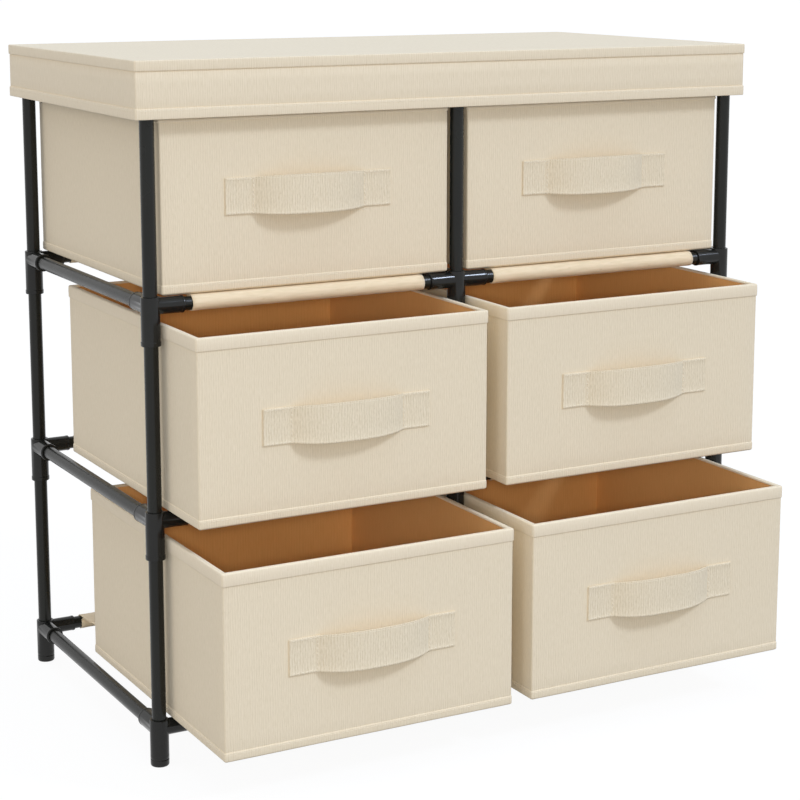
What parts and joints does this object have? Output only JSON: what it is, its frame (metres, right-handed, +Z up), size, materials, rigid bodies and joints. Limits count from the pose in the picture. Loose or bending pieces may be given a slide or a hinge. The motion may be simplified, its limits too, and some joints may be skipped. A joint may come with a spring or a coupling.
{
  "type": "fabric drawer dresser",
  "caption": "Open chest with a black tube frame, sewn shelves, sliding cream fabric drawers with strap handles and a fabric-covered lift-off lid.",
  "frame": {"origin": "on the floor, under the middle of the whole part as it stands with its drawers open", "axes": "+X to the right along the front, +Y to the rear, +Z up"},
  "size_m": [0.55, 0.395, 0.54],
  "materials": {
    "frame_steel": "satin charcoal powder coat",
    "connector_plastic": "moulded black plastic with a soft gloss",
    "shelf_fabric": "cream non-woven cloth",
    "drawer_fabric": "cream slub weave over stiff panels",
    "rim_fabric": "cream folded binding",
    "strap_fabric": "cream slub weave strap",
    "brown_lining": "brown non-woven lining",
    "lined_board": "stiff board covered like the lining",
    "lid_fabric": "cream slub weave",
    "fibreboard": "raw fibreboard"
  },
  "bodies": {
    "frame": {"connectors_base": "connector_plastic", "cross_rails_base": "frame_steel", "connectors_lower": "connector_plastic", "cross_rails_lower": "frame_steel", "connectors_upper": "connector_plastic", "cross_rails_upper": "frame_steel", "connectors_top": "connector_plastic", "cross_rails_top": "frame_steel", "side_rails_left": "frame_steel", "upright_front_left": "frame_steel", "upright_rear_left": "frame_steel", "side_rails_middle": "frame_steel", "upright_front_middle": "frame_steel", "upright_rear_middle": "frame_steel", "side_rails_right": "frame_steel", "upright_front_right": "frame_steel", "upright_rear_right": "frame_steel", "foot_caps": "connector_plastic", "shelf_lower_left": "shelf_fabric", "shelf_lower_right": "shelf_fabric", "shelf_middle_left": "shelf_fabric", "shelf_middle_right": "shelf_fabric", "shelf_upper_left": "shelf_fabric", "shelf_upper_right": "shelf_fabric"},
    "lid": {"lid_board": "fibreboard", "lid_cover": "lid_fabric", "lid_edge_trim": "lid_fabric", "lid_hem": "lid_fabric"},
    "drawer_lower_left": {"drawer_lower_left_shell": "drawer_fabric", "drawer_lower_left_lining": "brown_lining", "drawer_lower_left_rim": "rim_fabric", "drawer_lower_left_base_board": "lined_board", "drawer_lower_left_strap": "strap_fabric"},
    "drawer_lower_right": {"drawer_lower_right_shell": "drawer_fabric", "drawer_lower_right_lining": "brown_lining", "drawer_lower_right_rim": "rim_fabric", "drawer_lower_right_base_board": "lined_board", "drawer_lower_right_strap": "strap_fabric"},
    "drawer_middle_left": {"drawer_middle_left_shell": "drawer_fabric", "drawer_middle_left_lining": "brown_lining", "drawer_middle_left_rim": "rim_fabric", "drawer_middle_left_base_board": "lined_board", "drawer_middle_left_strap": "strap_fabric"},
    "drawer_middle_right": {"drawer_middle_right_shell": "drawer_fabric", "drawer_middle_right_lining": "brown_lining", "drawer_middle_right_rim": "rim_fabric", "drawer_middle_right_base_board": "lined_board", "drawer_middle_right_strap": "strap_fabric"},
    "drawer_upper_left": {"drawer_upper_left_shell": "drawer_fabric", "drawer_upper_left_lining": "brown_lining", "drawer_upper_left_rim": "rim_fabric", "drawer_upper_left_base_board": "lined_board", "drawer_upper_left_strap": "strap_fabric"},
    "drawer_upper_right": {"drawer_upper_right_shell": "drawer_fabric", "drawer_upper_right_lining": "brown_lining", "drawer_upper_right_rim": "rim_fabric", "drawer_upper_right_base_board": "lined_board", "drawer_upper_right_strap": "strap_fabric"}
  },
  "joints": [
    {"name": "lid_lift", "type": "slide", "parent": "frame", "child": "lid", "axis": [0, 0, 1], "range_m": [0, 0.06]},
    {"name": "drawer_lower_left_slide", "type": "slide", "parent": "frame", "child": "drawer_lower_left", "axis": [0, -1, 0], "range_m": [-0.1035, 0.0865]},
    {"name": "drawer_lower_right_slide", "type": "slide", "parent": "frame", "child": "drawer_lower_right", "axis": [0, -1, 0], "range_m": [-0.1035, 0.0865]},
    {"name": "drawer_middle_left_slide", "type": "slide", "parent": "frame", "child": "drawer_middle_left", "axis": [0, -1, 0], "range_m": [-0.063, 0.127]},
    {"name": "drawer_middle_right_slide", "type": "slide", "parent": "frame", "child": "drawer_middle_right", "axis": [0, -1, 0], "range_m": [-0.063, 0.127]},
    {"name": "drawer_upper_left_slide", "type": "slide", "parent": "frame", "child": "drawer_upper_left", "axis": [0, -1, 0], "range_m": [0, 0.19]},
    {"name": "drawer_upper_right_slide", "type": "slide", "parent": "frame", "child": "drawer_upper_right", "axis": [0, -1, 0], "range_m": [0, 0.19]}
  ]
}
